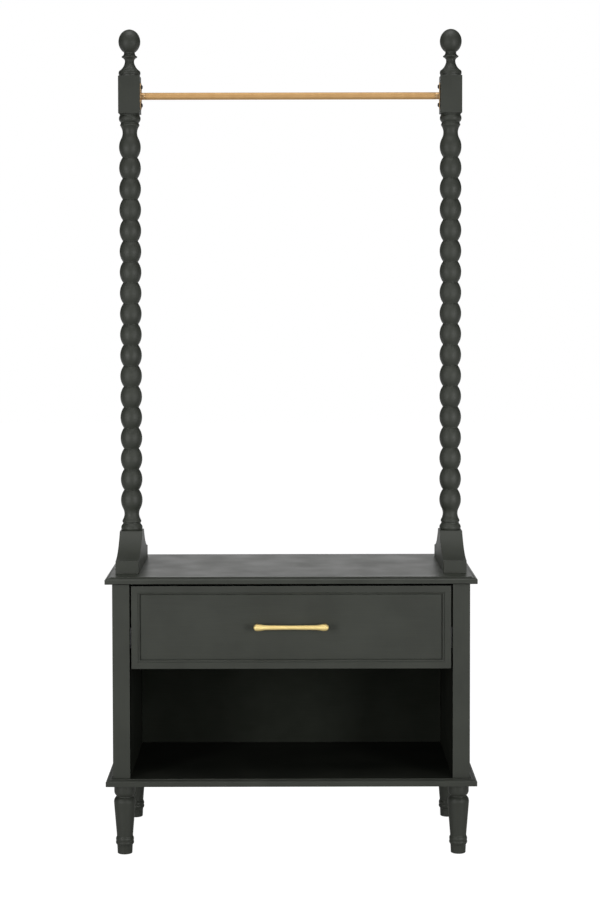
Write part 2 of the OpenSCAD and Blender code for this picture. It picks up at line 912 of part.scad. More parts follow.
module front_hollow() {
    half_x = front_x - border_w;
    half_z = front_h / 2 - border_w;
    translate([0, case_y0, front_zc]) intersection() {
        linear_extrude(2 * half_z, center = true) polygon(hollow_outline(half_x));
        rotate([0, -90, 0]) linear_extrude(2 * half_x, center = true) polygon(hollow_outline(half_z));
    }
}

module drawer_front() {
    color(paint) difference() {
        block([-front_x, case_y0, front_z0], [front_x, front_y1, front_z1]);
        front_hollow();
        both() {
            rod_y([handle_cc / 2, case_y0, handle_zc], handle_screw_r + fit, front_t + past);
            hole_y = front_y1 - front_screw_in - fit;
            for (z = front_screw_zs)
                rod_y([front_screw_x, hole_y, z], handle_screw_r + fit, front_screw_in + fit + past);
        }
    }
}

// Drawer box

// Space of the drawer bottom with its clearance
module bottom_groove() {
    x = box_x - box_t + box_groove;
    y0 = box_y0 + box_t - box_groove;
    y1 = box_y1 - box_t + box_groove;
    block([-x, y0, bottom_z0 - groove_fit], [x, y1, bottom_z0 + bottom_t + groove_fit]);
}

module drawer_side(side) {
    color(bare_wood) on(side) difference() {
        block([box_x - box_t, box_y0, box_z0], [box_x, box_y1, box_z0 + box_h]);
        bottom_groove();
        for (y = slide_screw_ys) drawer_screw(y, fit);
        for (y = drawer_dowel_ys, z = drawer_dowel_zs) {
            hole_l = drawer_dowel_in_side + fit;
            rod_x([box_x - box_t - past, y, z], thin_dowel_r + fit, hole_l + past);
        }
    }
}

// Panel between the drawer sides, from the given place backwards
module drawer_cross_panel(y0) {
    half = box_x - box_t;
    hole_l = dowel_l - drawer_dowel_in_side + fit;
    difference() {
        block([-half, y0, box_z0], [half, y0 + box_t, box_z0 + box_h]);
        bottom_groove();
        both() for (z = drawer_dowel_zs)
            rod_x([half - hole_l, y0 + box_t / 2, z], thin_dowel_r + fit, hole_l + past);
    }
}

module drawer_box_front() {
    color(bare_wood) difference() {
        drawer_cross_panel(box_y0);
        both() {
            rod_y([handle_cc / 2, box_y0 - past, handle_zc], handle_screw_r + fit, box_t + 2 * past);
            for (z = front_screw_zs)
                rod_y([front_screw_x, box_y0 - past, z], handle_screw_r + fit, box_t + 2 * past);
        }
    }
}

module drawer_back() {
    color(bare_wood) drawer_cross_panel(box_y1 - box_t);
}

module drawer_bottom() {
    x = box_x - box_t + box_groove - groove_fit;
    y0 = box_y0 + box_t - box_groove + groove_fit;
    y1 = box_y1 - box_t + box_groove - groove_fit;
    color(bare_wood) block([-x, y0, bottom_z0], [x, y1, bottom_z0 + bottom_t]);
}

module drawer_dowels() {
    color(bare_wood) both() for (y = drawer_dowel_ys, z = drawer_dowel_zs)
        rod_x([box_x - box_t + drawer_dowel_in_side - dowel_l, y, z], thin_dowel_r, dowel_l);
}

// Pan head screw towards the front of the drawer, its head on the inside of the box
module box_screw(x, z, l) {
    y = box_y0 + box_t;
    rod_y([x, y - l, z], handle_screw_r, l + pan_head_h);
    rod_y([x, y, z], pan_head_r, pan_head_h);
}

module drawer_front_screws() {
    color(steel) both() for (z = front_screw_zs) box_screw(front_screw_x, z, box_t + front_screw_in);
}

module handle_screws() {
    l = box_y0 + box_t - panel_y + handle_screw_in;
    color(steel) both() box_screw(handle_cc / 2, handle_zc, l);
}

// Handle

module drawer_handle() {
    axis_y = panel_y - handle_out;
    color(brass) difference() {
        union() {
            both() translate([0, axis_y, handle_zc]) rotate([0, 90, 0])
                rotate_extrude() polygon(concat([[0, 0]], turned(handle_turning)));
            both() {
                rod_y([handle_cc / 2, axis_y, handle_zc], handle_post_r, handle_out);
                rod_y([handle_cc / 2, panel_y - handle_foot_t, handle_zc], handle_foot_r, handle_foot_t);
            }
        }
        hole_l = handle_screw_in + fit;
        hole_start = [handle_cc / 2, panel_y - hole_l, handle_zc];
        both() rod_y(hole_start, handle_screw_r + thread_fit, hole_l + past);
    }
}

top_board();
bottom_board();
front_stile(left);  // left_front_stile
front_stile(right);  // right_front_stile
rear_stile(left);  // left_rear_stile
rear_stile(right);  // right_rear_stile
side_panel(left);  // left_side_panel
side_panel(right);  // right_side_panel
lining(left);  // left_lining
lining(right);  // right_lining
back_panel();
divider_shelf();
carcass_dowels();
cam_bolts();
cam_nuts();
bottom_screws();
divider_dowels();
leg(left, leg_ys[0]);  // front_left_leg
leg(right, leg_ys[0]);  // front_right_leg
leg(left, leg_ys[1]);  // rear_left_leg
leg(right, leg_ys[1]);  // rear_right_leg
leg_bolts();
leg_inserts();
post_base(left);  // left_post_base
post_base(right);  // right_post_base
post(left);  // left_post
post(right);  // right_post
finial(left);  // left_finial
finial(right);  // right_finial
finial_studs();
post_bolts();
post_inserts();
base_bolts();
base_inserts();
hanging_rail();
rail_flange(left);  // left_rail_flange
rail_flange(right);  // right_rail_flange
flange_screws();
slide_case_member(left);  // left_slide_case_member
slide_case_member(right);  // right_slide_case_member
slide_case_screws();
slide_middle(left);  // left_slide_middle
slide_middle(right);  // right_slide_middle
outer_ball_cage(left);  // left_outer_ball_cage
outer_ball_cage(right);  // right_outer_ball_cage
inner_ball_cage(left);  // left_inner_ball_cage
inner_ball_cage(right);  // right_inner_ball_cage
slide_drawer_member(left);  // left_slide_drawer_member
slide_drawer_member(right);  // right_slide_drawer_member
slide_drawer_screws();
drawer_front();
drawer_box_front();
drawer_side(left);  // drawer_left_side
drawer_side(right);  // drawer_right_side
drawer_back();
drawer_bottom();
drawer_dowels();
drawer_front_screws();
drawer_handle();
handle_screws();
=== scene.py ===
# Clothing rack with a drawer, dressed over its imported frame.
# Metres, +Z up, the drawer front faces -Y. Lengths in the dictionaries are millimetres, but
# those of the studio and the camera's place are metres.
import math

import bmesh
import bpy
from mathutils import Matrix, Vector


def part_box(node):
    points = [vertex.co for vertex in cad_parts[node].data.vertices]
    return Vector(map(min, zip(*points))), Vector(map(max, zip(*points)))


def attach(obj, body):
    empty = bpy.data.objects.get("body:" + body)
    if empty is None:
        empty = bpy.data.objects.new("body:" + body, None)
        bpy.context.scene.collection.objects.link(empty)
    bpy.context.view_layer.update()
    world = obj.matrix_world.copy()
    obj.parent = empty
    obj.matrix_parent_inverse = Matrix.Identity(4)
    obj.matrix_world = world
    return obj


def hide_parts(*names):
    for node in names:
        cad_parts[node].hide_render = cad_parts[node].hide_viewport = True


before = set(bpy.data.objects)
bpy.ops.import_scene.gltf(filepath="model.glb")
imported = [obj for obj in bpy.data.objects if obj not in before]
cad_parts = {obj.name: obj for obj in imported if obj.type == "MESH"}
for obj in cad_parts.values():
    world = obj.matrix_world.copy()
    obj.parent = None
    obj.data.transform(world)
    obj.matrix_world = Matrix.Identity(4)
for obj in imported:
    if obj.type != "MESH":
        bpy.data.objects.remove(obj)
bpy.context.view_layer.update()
mm = 0.001
print("frame: loaded", len(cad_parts), "nodes")


# Workshop: small steps that every piece goes through

def clearSelection():
    active = bpy.context.view_layer.objects.active
    if active and active.mode != "OBJECT":
        bpy.ops.object.mode_set(mode="OBJECT")
    bpy.ops.object.select_all(action="DESELECT")


def takeUp(piece):
    clearSelection()
    piece.select_set(True)
    bpy.context.view_layer.objects.active = piece


def settle(piece):
    takeUp(piece)
    bpy.ops.object.transform_apply(location=True, rotation=True, scale=True)


def middleOf(node, height=None):
    # The middle of a CAD node's box, or the point at that height over or under it
    low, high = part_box(node)
    middle = (low + high) / 2
    if height is not None:
        middle.z = height
    return middle


def sawBlock(name, low, high):
    # A squared block between two corners, its mesh already in its place
    clearSelection()
    low, high = Vector(low), Vector(high)
    bpy.ops.mesh.primitive_cube_add(size=1, location=(low + high) / 2, scale=high - low)
    block = bpy.context.object
    block.name = name
    settle(block)
    return block


def drawLine(name, points):
    # One vertex is drawn out from point to point. The piece stays in edit mode.
    clearSelection()
    bpy.ops.mesh.primitive_plane_add(size=2 * mm, location=points[0])
    line = bpy.context.object
    line.name = name
    settle(line)
    bpy.ops.object.mode_set(mode="EDIT")
    bpy.ops.mesh.select_mode(type="VERT")
    bpy.ops.mesh.merge(type="CENTER")
    for here, there in zip(points, points[1:]):
        bpy.ops.mesh.extrude_region_move(TRANSFORM_OT_translate={"value": there - here})
    return line


def facing(direction, within=8):
    # A test for faces that look in a direction, or up to so many degrees off it
    direction, least = Vector(direction), math.cos(math.radians(within))
    return lambda middle, normal: normal.dot(direction) > least


def pickFaces(test):
    # In edit mode: selects the faces whose middle and normal pass the test
    bpy.ops.mesh.select_mode(type="FACE")
    bpy.ops.mesh.select_all(action="DESELECT")
    mesh = bmesh.from_edit_mesh(bpy.context.edit_object.data)
    for face in mesh.faces:
        if test(face.calc_center_median(), face.normal):
            face.select_set(True)
    bmesh.update_edit_mesh(bpy.context.edit_object.data)


def easeEdges(piece, width, segments=3, sharperThan=30):
    # Sanded arrises, which paint rounds a little more
    takeUp(piece)
    bevel = piece.modifiers.new("eased edges", "BEVEL")
    bevel.width = width * mm
    bevel.segments = segments
    bevel.limit_method = "ANGLE"
    bevel.angle_limit = math.radians(sharperThan)
    bpy.ops.object.modifier_apply(modifier=bevel.name)


def smooth(piece, angle=38):
    takeUp(piece)
    bpy.ops.object.shade_smooth_by_angle(angle=math.radians(angle))


def smoothEdgesOnly(piece, angle=38):
    # As smooth, but the broad faces keep their own direction and stay flat to the eye
    smooth(piece, angle)
    flats = piece.modifiers.new("flat faces", "WEIGHTED_NORMAL")
    flats.keep_sharp = True
    bpy.ops.object.modifier_apply(modifier=flats.name)


def arcTo(start, end, bow, steps=8):
    # Points after start up to end, along an arc that bulges by bow to the right of the way
    if bow == 0:
        return [end]
    a, b = Vector(start), Vector(end)
    chord = b - a
    along = chord.normalized()
    out = Vector((along.y, -along.x))
    half, size, turn = chord.length / 2, abs(bow), math.copysign(1, bow)
    radius = (half * half + size * size) / (2 * size)
    reach = math.asin(min(1, half / radius))
    points = []
    for i in range(1, steps + 1):
        angle = reach * (2 * i / steps - 1)
        rise = turn * radius * (math.cos(angle) - math.cos(reach))
        points.append(tuple((a + b) / 2 + radius * math.sin(angle) * along + rise * out))
    return points


def throughStations(stations, lift=0, steps=8):
    # Stations are (radius, height, bow of the stretch that leads there)
    points = [(stations[0][0], stations[0][1] + lift)]
    for station in stations[1:]:
        bow = station[2] if len(station) > 2 else 0
        points += arcTo(points[-1], (station[0], station[1] + lift), bow, steps)
    return points


def mould(width, rise, bow):
    # In edit mode: insets the picked face along an arc, by width inwards and by rise outwards
    last = (0.0, 0.0)
    for point in arcTo(last, (-width, rise), bow):
        bpy.ops.mesh.inset(thickness=(last[0] - point[0]) * mm, depth=(point[1] - last[1]) * mm)
        last = point


def turnOnLathe(
        name, outline, centre, along=(0, 0, 1), outward=(1, 0, 0), soften=0.5, sharperThan=16, steps=64):
    # A line is drawn along the outline (radius, distance along), its sharper corners are
    # rounded, and it is spun round the centre
    centre, along, outward = Vector(centre), Vector(along), Vector(outward)
    points = [centre + (outward * r + along * d) * mm for r, d in outline]
    piece = drawLine(name, points)
    if soften:
        mesh = bmesh.from_edit_mesh(piece.data)
        bpy.ops.mesh.select_all(action="DESELECT")
        mesh.verts.ensure_lookup_table()
        for i in range(1, len(points) - 1):
            bend = (points[i] - points[i - 1]).angle(points[i + 1] - points[i])
            if math.degrees(bend) > sharperThan:
                mesh.verts[i].select_set(True)
        bmesh.update_edit_mesh(piece.data)
        bpy.ops.mesh.bevel(offset=soften * mm, segments=3, affect="VERTICES", clamp_overlap=True)
    bpy.ops.mesh.select_all(action="SELECT")
    bpy.ops.mesh.spin(steps=steps, angle=math.tau, center=centre, axis=along)
    bpy.ops.mesh.select_all(action="SELECT")
    bpy.ops.mesh.remove_doubles(threshold=0.01 * mm)
    bpy.ops.mesh.normals_make_consistent(inside=False)
    bpy.ops.object.mode_set(mode="OBJECT")
    smooth(piece)
    return piece


def copyOf(piece, name, shift=(0, 0, 0), halfTurnAbout=None):
    # A copy with a mesh of its own, moved along or turned half round an upright line
    takeUp(piece)
    bpy.ops.object.duplicate(linked=False)
    twin = bpy.context.object
    twin.name = name
    if halfTurnAbout is not None:
        bpy.ops.transform.rotate(value=math.pi, orient_axis="Z", center_override=halfTurnAbout)
    bpy.ops.transform.translate(value=shift)
    settle(twin)
    return twin


def joinInto(piece, *others):
    takeUp(piece)
    for other in others:
        other.select_set(True)
    bpy.ops.object.join()
    return piece


def dress(piece, finish, body, *nodes):
    # Gives a piece its finish, the body it moves with and the CAD nodes it stands for
    piece.data.materials.clear()
    piece.data.materials.append(finish["material"])
    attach(piece, body)
    if nodes:
        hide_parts(*nodes)


def dressFaces(piece, finish, test):
    # A second finish on those faces of a dressed piece that pass the test
    piece.data.materials.append(finish["material"])
    takeUp(piece)
    bpy.ops.object.mode_set(mode="EDIT")
    pickFaces(test)
    piece.active_material_index = len(piece.data.materials) - 1
    bpy.ops.object.material_slot_assign()
    bpy.ops.object.mode_set(mode="OBJECT")


def refinish(finish, *nodes):
    # A CAD node whose shape is right only gets its finish
    for node in nodes:
        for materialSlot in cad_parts[node].material_slots:
            materialSlot.material = finish["material"]


# Finishes: first what their shaders share

def linear(hexColour):
    channels = [int(hexColour[i:i + 2], 16) / 255 for i in (1, 3, 5)]
    return [c / 12.92 if c <= 0.04045 else ((c + 0.055) / 1.055) ** 2.4 for c in channels] + [1]


def addNode(tree, kind, inputs=None, **settings):
    # Inputs go by name or, where two have the same name, by number
    node = tree.nodes.new(kind)
    for name, value in settings.items():
        setattr(node, name, value)
    for name, value in (inputs or {}).items():
        if isinstance(value, bpy.types.NodeSocket):
            tree.links.new(value, node.inputs[name])
        else:
            node.inputs[name].default_value = value
    return node


def newMaterial(name):
    material = bpy.data.materials.new(name)
    material.use_nodes = True
    tree = material.node_tree
    tree.nodes.clear()
    return material, tree


def blendOf(tree, factor, first, second):
    mix = addNode(
        tree, "ShaderNodeMix", {"Factor": factor, 6: linear(first), 7: linear(second)}, data_type="RGBA")
    return mix.outputs[2]


def noiseScale(size):
    # The scale at which a noise texture has features of so many millimetres
    return 1 / (size * mm)


def alongGrain(tree, place, grain, length, width):
    # Coordinates that draw noise of scale 1 out into lines along one axis
    stretch = [noiseScale(length if axis == grain else width) for axis in "XYZ"]
    return addNode(tree, "ShaderNodeMapping", {"Vector": place, "Scale": stretch}).outputs["Vector"]


paintLook = {
    "deep": "#2f322b", "pale": "#373a33",
    "cloudSize": 70,       # faint cloudy patches of the sprayed coat
    "grainWidth": 1.6,     # pore lines that telegraph through the paint
    "grainLength": 70,
    "peelSize": 2.4,       # real orange peel is near 1 mm, drawn coarser so that it shows
    "roughness": (0.52, 0.6),
    "gloss": 0.5,
}
boardPaintLook = {**paintLook, "roughness": (0.4, 0.48)}     # rubbed down between its coats
shadeInsideLook = {
    **paintLook, "deep": "#181a16", "pale": "#1f211c",       # darker than the outside paint, with little gloss: painted shade inside the case
    "roughness": (0.62, 0.72), "gloss": 0.1,
}
# The back panel's paint is darkened too, a little less: painted shade on the compartment's back
shadedBackLook = {**shadeInsideLook, "deep": "#1f221c", "pale": "#272a24"}
gapShadeLook = {
    **shadeInsideLook, "deep": "#101210", "pale": "#141613",     # near black, no gloss: painted shade in the gaps round the drawer
    "gloss": 0.0,
}


def sprayedPaint(name, grain, look):
    # Lacquer paint sprayed on wood: dark grey-green, soft wide highlights, the wood's
    # pores just felt under it. The grain runs along the axis named.
    material, tree = newMaterial(name)
    place = addNode(tree, "ShaderNodeTexCoord").outputs["Object"]
    along = alongGrain(tree, place, grain, look["grainLength"], look["grainWidth"])
    pores = addNode(tree, "ShaderNodeTexNoise", {
        "Vector": along, "Scale": 1, "Detail": 3, "Roughness": 0.6})
    clouds = addNode(tree, "ShaderNodeTexNoise", {
        "Vector": place, "Scale": noiseScale(look["cloudSize"]), "Detail": 2, "Roughness": 0.5})
    peel = addNode(tree, "ShaderNodeTexNoise", {
        "Vector": place, "Scale": noiseScale(look["peelSize"]), "Detail": 1})
    patch = addNode(tree, "ShaderNodeMapRange", {
        "Value": clouds.outputs[0], "From Min": 0.32, "From Max": 0.68})
    tone = addNode(tree, "ShaderNodeMapRange", {
        "Value": pores.outputs[0], "From Min": 0.3, "From Max": 0.7, "To Min": -0.25, "To Max": 0.25})
    amount = addNode(
        tree, "ShaderNodeMath", {0: patch.outputs[0], 1: tone.outputs[0]}, operation="ADD", use_clamp=True)
    sheen = addNode(tree, "ShaderNodeMapRange", {
        "Value": clouds.outputs[0], "From Min": 0.3, "From Max": 0.7,
        "To Min": look["roughness"][0], "To Max": look["roughness"][1]})
    poreBump = addNode(tree, "ShaderNodeBump", {
        "Height": pores.outputs[0], "Strength": 0.16, "Distance": 0.12 * mm})
    peelBump = addNode(tree, "ShaderNodeBump", {
        "Height": peel.outputs[0], "Strength": 0.1, "Distance": 0.12 * mm, "Normal": poreBump.outputs[0]})
    shader = addNode(tree, "ShaderNodeBsdfPrincipled", {
        "Base Color": blendOf(tree, amount.outputs[0], look["deep"], look["pale"]),
        "Roughness": sheen.outputs[0], "IOR": 1.5, "Specular IOR Level": look["gloss"],
        "Normal": peelBump.outputs[0]})
    addNode(tree, "ShaderNodeOutputMaterial", {"Surface": shader.outputs[0]})
    return {"material": material, "slot": "painted_wood"}


metalLook = {
    "lengthToWidth": 60,     # of one brushed scratch
    "hazeSize": 18,          # faint cloudy marks of handling
    "quarterTurn": 0.25,     # lays the drawn-out highlight along a turned bar
}


def brushedMetal(name, slot, deep, pale, roughness, grain, lineWidth=0.5, turned=0):
    # Metal brushed along one axis: fine straight scratches that draw its highlight out.
    # Turned metal also has rings round X, which stretch its highlight along the bar.
    material, tree = newMaterial(name)
    place = addNode(tree, "ShaderNodeTexCoord").outputs["Object"]
    along = alongGrain(tree, place, grain, lineWidth * metalLook["lengthToWidth"], lineWidth)
    lines = addNode(tree, "ShaderNodeTexNoise", {
        "Vector": along, "Scale": 1, "Detail": 3, "Roughness": 0.6})
    haze = addNode(tree, "ShaderNodeTexNoise", {
        "Vector": place, "Scale": noiseScale(metalLook["hazeSize"]), "Detail": 2})
    shine = addNode(tree, "ShaderNodeMapRange", {
        "Value": lines.outputs[0], "From Min": 0.3, "From Max": 0.7,
        "To Min": roughness - 0.05, "To Max": roughness + 0.06})
    bump = addNode(tree, "ShaderNodeBump", {
        "Height": lines.outputs[0], "Strength": 0.12, "Distance": 0.03 * mm})
    shader = addNode(tree, "ShaderNodeBsdfPrincipled", {
        "Base Color": blendOf(tree, haze.outputs[0], deep, pale),
        "Metallic": 1.0, "Roughness": shine.outputs[0], "Normal": bump.outputs[0],
        "Anisotropic": turned})
    if turned:
        around = addNode(tree, "ShaderNodeTangent", direction_type="RADIAL", axis="X")
        tree.links.new(around.outputs[0], shader.inputs["Tangent"])
        shader.inputs["Anisotropic Rotation"].default_value = metalLook["quarterTurn"]
    addNode(tree, "ShaderNodeOutputMaterial", {"Surface": shader.outputs[0]})
    return {"material": material, "slot": slot}


birchLook = {
    "wood": "#d6b98c", "lines": "#b08b58",
    "growthLength": 160, "growthWidth": 9,     # the darker growth lines
    "fibreLength": 40, "fibreWidth": 0.9,
}


def lacqueredBirch(name, grain):
    # Clear-lacquered birch: pale tan, straight fine grain with darker growth lines
    material, tree = newMaterial(name)
    place = addNode(tree, "ShaderNodeTexCoord").outputs["Object"]
    wide = alongGrain(tree, place, grain, birchLook["growthLength"], birchLook["growthWidth"])
    close = alongGrain(tree, place, grain, birchLook["fibreLength"], birchLook["fibreWidth"])
    growth = addNode(tree, "ShaderNodeTexNoise", {
        "Vector": wide, "Scale": 1, "Detail": 4, "Roughness": 0.55, "Distortion": 0.6})
    fibres = addNode(tree, "ShaderNodeTexNoise", {"Vector": close, "Scale": 1, "Detail": 3})
    shade = addNode(
        tree, "ShaderNodeMath", {0: fibres.outputs[0], 1: 0.4, 2: growth.outputs[0]},
        operation="MULTIPLY_ADD", use_clamp=True)
    amount = addNode(tree, "ShaderNodeMapRange", {
        "Value": shade.outputs[0], "From Min": 0.45, "From Max": 0.95})
    bump = addNode(tree, "ShaderNodeBump", {
        "Height": fibres.outputs[0], "Strength": 0.15, "Distance": 0.08 * mm})
    shader = addNode(tree, "ShaderNodeBsdfPrincipled", {
        "Base Color": blendOf(tree, amount.outputs[0], birchLook["wood"], birchLook["lines"]),
        "Roughness": 0.42, "IOR": 1.5, "Normal": bump.outputs[0]})
    addNode(tree, "ShaderNodeOutputMaterial", {"Surface": shader.outputs[0]})
    return {"material": material, "slot": "birch"}


oxideLook = {"deep": "#141312", "pale": "#24221f", "speckSize": 1.2}


def blackOxide(name):
    # Blackened steel screw heads: almost black, a dull grey shine where light catches them
    material, tree = newMaterial(name)
    place = addNode(tree, "ShaderNodeTexCoord").outputs["Object"]
    speckle = addNode(tree, "ShaderNodeTexNoise", {
        "Vector": place, "Scale": noiseScale(oxideLook["speckSize"]), "Detail": 3})
    shader = addNode(tree, "ShaderNodeBsdfPrincipled", {
        "Base Color": blendOf(tree, speckle.outputs[0], oxideLook["deep"], oxideLook["pale"]),
        "Roughness": 0.45, "IOR": 1.5})
    addNode(tree, "ShaderNodeOutputMaterial", {"Surface": shader.outputs[0]})
    return {"material": material, "slot": "black_steel"}


paintAlongX = sprayedPaint("satin paint on wood, grain along X", "X", paintLook)
paintAlongZ = sprayedPaint("satin paint on wood, grain along Z", "Z", paintLook)
paintAlongY = sprayedPaint("satin paint on wood, grain along Y", "Y", paintLook)
boardPaint = sprayedPaint("satin paint on wood, rubbed down", "X", boardPaintLook)
# Inside the case the paint is darkened, with little gloss: painted shade
shadeInsideAlongX = sprayedPaint("dark paint on wood as painted shade, grain along X", "X", shadeInsideLook)
shadeInsideAlongZ = sprayedPaint("dark paint on wood as painted shade, grain along Z", "Z", shadeInsideLook)
shadedBackPaint = sprayedPaint("dark plywood paint as painted shade", "X", shadedBackLook)
gapShadePaint = sprayedPaint("near-black paint as painted shade in the gaps", "X", gapShadeLook)
railBrass = brushedMetal(
    "lacquered rose brass tube", "brushed_brass", deep="#c8a26e", pale="#d6b381", roughness=0.7, grain="X")
handleBrass = brushedMetal(
    "satin yellow brass", "brushed_brass", deep="#f4dc98", pale="#fbe7a8", roughness=0.62, grain="X",
    turned=0.2)
# The handle's stems: the brass darkened, painted shade behind the bar
shadedStemBrass = brushedMetal(
    "yellow brass darkened as painted shade", "brushed_brass", deep="#8a6f40", pale="#9c8150", roughness=0.55, grain="Y")
plateBrass = brushedMetal(
    "aged copper brass plate", "brushed_brass", deep="#c9a476", pale="#d8b88c", roughness=0.5, grain="Z")
zincSteel = brushedMetal(
    "zinc-plated steel", "zinc_steel", deep="#a9abad", pale="#bcbec1", roughness=0.34, grain="Y",
    lineWidth=0.8)
birchAlongY = lacqueredBirch("lacquered birch, grain along Y", "Y")
birchAlongX = lacqueredBirch("lacquered birch, grain along X", "X")
blackScrew = blackOxide("black oxide steel")
print("finishes: ready")


# Boards above and below the case, moulded all round

boardLook = {
    "uprightEdge": 10,      # height of the plain upright edge
    "mouldWidth": 11.4, "mouldRise": 3.5, "mouldBow": 1.2, "step": 1.5,
    "ease": 0.45,
    "lowerRound": 1.3,      # the top board's lower arris, rounded over the drawer's gap
    "skin": 0.2,            # a face that lies this near the top of the lower board is its floor
}


def mouldedBoard(name, node, lowerRound=0):
    low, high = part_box(node)
    high.z = low.z + boardLook["uprightEdge"] * mm
    board = sawBlock(name, low, high)
    takeUp(board)
    bpy.ops.object.mode_set(mode="EDIT")
    pickFaces(facing((0, 0, 1)))
    mould(boardLook["mouldWidth"], boardLook["mouldRise"], boardLook["mouldBow"])
    bpy.ops.mesh.extrude_region_move(TRANSFORM_OT_translate={"value": (0, 0, boardLook["step"] * mm)})
    if lowerRound:
        pickFaces(facing((0, 0, -1)))
        bpy.ops.mesh.bevel(offset=lowerRound * mm, segments=3, affect="EDGES")
    bpy.ops.object.mode_set(mode="OBJECT")
    easeEdges(board, boardLook["ease"], segments=2, sharperThan=35)
    smoothEdgesOnly(board, angle=30)
    return board


topBoard = mouldedBoard("topBoard", "top_board", boardLook["lowerRound"])
dress(topBoard, boardPaint, "frame", "top_board")
# Its underside and lower round are painted near black: painted shade of the gap over the drawer
dressFaces(topBoard, gapShadePaint, facing((0, 0, -1), within=78))
bottomBoard = mouldedBoard("bottomBoard", "bottom_board")
dress(bottomBoard, paintAlongX, "frame", "bottom_board")
facingUp = facing((0, 0, 1))
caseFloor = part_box("bottom_board")[1].z - boardLook["skin"] * mm
# The compartment's floor is painted darker: painted shade inside the case
dressFaces(
    bottomBoard, shadeInsideAlongX,
    lambda middle, normal: facingUp(middle, normal) and middle.z > caseFloor)
print("boards: moulded")


# Case walls: stiles with the panels between them

wallLook = {"ease": 0.7, "panelEase": 0.35}

for side, inward in (("left", 1), ("right", -1)):
    for place in ("front", "rear"):
        node = side + "_" + place + "_stile"
        stile = sawBlock(side + place.title() + "Stile", *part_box(node))
        easeEdges(stile, wallLook["ease"])
        smoothEdgesOnly(stile)
        dress(stile, paintAlongZ, "frame", node)
        # The stile's inner side, seen through the drawer's side gap, is painted near black: painted shade
        dressFaces(stile, gapShadePaint, facing((inward, 0, 0), within=53))
    panel = sawBlock(side + "SidePanel", *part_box(side + "_side_panel"))
    easeEdges(panel, wallLook["panelEase"], segments=2)
    smoothEdgesOnly(panel)
    dress(panel, paintAlongZ, "frame", side + "_side_panel")
print("case: stiles and side panels")


# Turned legs

legLook = {
    "stations": [
        (15.2, 0), (16.3, 1.6, 0.4), (17.1, 18.5), (18.2, 20), (19, 28, 1.4), (18.2, 37.4, 1.2),
        (17.7, 39), (23.7, 113), (18.3, 126.5, 1.9), (18.3, 128.5), (23.1, 137.5, 1), (23.1, 156)],
}
legLine = throughStations(legLook["stations"])
legCentre = middleOf("front_left_leg", height=0)
frontLeftLeg = turnOnLathe("frontLeftLeg", [(0, 0)] + legLine + [(0, legLine[-1][1])], legCentre)
legs = {"front_left_leg": frontLeftLeg}
for node in ("front_right_leg", "rear_left_leg", "rear_right_leg"):
    words = node.split("_")
    shift = middleOf(node, height=0) - legCentre
    legs[node] = copyOf(frontLeftLeg, words[0] + words[1].title() + "Leg", shift)
for node, leg in legs.items():
    dress(leg, paintAlongZ, "frame", node)
print("legs: turned")


# Saddle feet of the posts

footLook = {"plinth": 29, "top": 51, "height": 81, "hollow": 12, "slopeSteps": 14, "ease": 0.8}


def saddleFoot(name, node):
    # The side view is drawn, filled and drawn out to the foot's width
    low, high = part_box(node)
    half = (high.y - low.y) / 2 / mm
    middle = (low.y + high.y) / 2
    shoulder, crown = (half, footLook["plinth"]), (footLook["top"] / 2, footLook["height"])
    side = [(half, 0), shoulder] + arcTo(shoulder, crown, -footLook["hollow"], footLook["slopeSteps"])
    outline = side + [(-y, z) for y, z in reversed(side)]
    foot = drawLine(name, [Vector((low.x, middle + y * mm, low.z + z * mm)) for y, z in outline])
    bpy.ops.mesh.select_all(action="SELECT")
    bpy.ops.mesh.edge_face_add()
    bpy.ops.mesh.extrude_region_move(TRANSFORM_OT_translate={"value": (high.x - low.x, 0, 0)})
    bpy.ops.mesh.select_all(action="SELECT")
    bpy.ops.mesh.normals_make_consistent(inside=False)
    bpy.ops.object.mode_set(mode="OBJECT")
    easeEdges(foot, footLook["ease"], sharperThan=40)
    smoothEdgesOnly(foot, angle=30)
    return foot


leftFoot = saddleFoot("leftPostFoot", "left_post_base")
footShift = (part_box("right_post_base")[0].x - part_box("left_post_base")[0].x, 0, 0)
rightFoot = copyOf(leftFoot, "rightPostFoot", footShift)
dress(leftFoot, paintAlongY, "frame", "left_post_base")
dress(rightFoot, paintAlongY, "frame", "right_post_base")
print("post feet: shaped")


# Bead-turned posts with their square blocks

postLook = {
    "foot": 697,                       # height of the post's lower end over the floor
    "lowRings": [(22.5, 0), (20.8, 13.5, 2.6), (20, 15), (20, 18), (21.2, 18.5), (20.9, 23, 0.4)],
    "lowHollow": 3.8,                  # of the neck between those rings and the first bead
    "beads": 18, "pitch": 47, "firstBead": 68.4, "beadRadius": 24.5, "beadCurve": 40, "stepsPerBead": 12,
    "lowTail": 18, "highTail": 20,     # how far the first and last beads reach from their middles
    "highRings": [
        (20.6, 46.5, -3.4), (20.6, 52.5, 1.2), (20.3, 54), (20.3, 55.5), (21.2, 56), (22.4, 71, 2.7),
        (22.4, 74.5)],
    "block": 48.5, "blockHeight": 84.5, "blockEase": 1.1, "soften": 0.9,
}


def beadRadius(away):
    curve = postLook["beadCurve"]
    return postLook["beadRadius"] - curve + math.sqrt(curve * curve - away * away)


